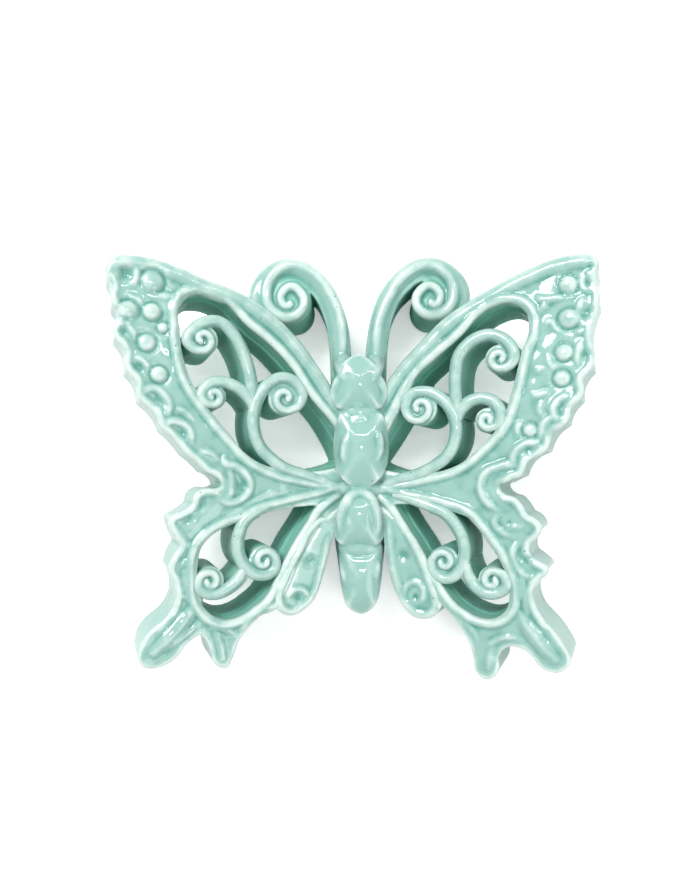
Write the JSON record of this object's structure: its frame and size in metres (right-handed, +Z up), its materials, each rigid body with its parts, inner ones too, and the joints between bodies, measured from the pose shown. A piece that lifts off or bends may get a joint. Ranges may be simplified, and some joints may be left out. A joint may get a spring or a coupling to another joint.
{
  "type": "butterfly ornament",
  "caption": "Glazed stoneware butterfly that lies flat, with openwork wings full of rolled clay scrolls and curled antennae.",
  "frame": {"origin": "middle of the flat foot under the body, on the surface that the ornament lies on", "axes": "+Z up out of the table, +Y towards the head and antennae, +X across to the right wing as seen from above"},
  "size_m": [0.189, 0.1602, 0.0581],
  "materials": {
    "celadon_glaze": "glossy"
  },
  "bodies": {
    "root": {"body_back": "celadon_glaze", "head": "celadon_glaze", "thorax": "celadon_glaze", "abdomen_upper": "celadon_glaze", "abdomen_lower": "celadon_glaze", "forewing_left": "celadon_glaze", "hindwing_left": "celadon_glaze", "lobe_left": "celadon_glaze", "antenna_left": "celadon_glaze", "forewing_beads_left": "celadon_glaze", "forewing_inner_scroll_left": "celadon_glaze", "forewing_outer_scroll_left": "celadon_glaze", "forewing_middle_scroll_left": "celadon_glaze", "hindwing_inner_scroll_left": "celadon_glaze", "hindwing_outer_scroll_left": "celadon_glaze", "forewing_right": "celadon_glaze", "hindwing_right": "celadon_glaze", "lobe_right": "celadon_glaze", "antenna_right": "celadon_glaze", "forewing_beads_right": "celadon_glaze", "forewing_inner_scroll_right": "celadon_glaze", "forewing_outer_scroll_right": "celadon_glaze", "forewing_middle_scroll_right": "celadon_glaze", "hindwing_inner_scroll_right": "celadon_glaze", "hindwing_outer_scroll_right": "celadon_glaze"}
  },
  "joints": []
}
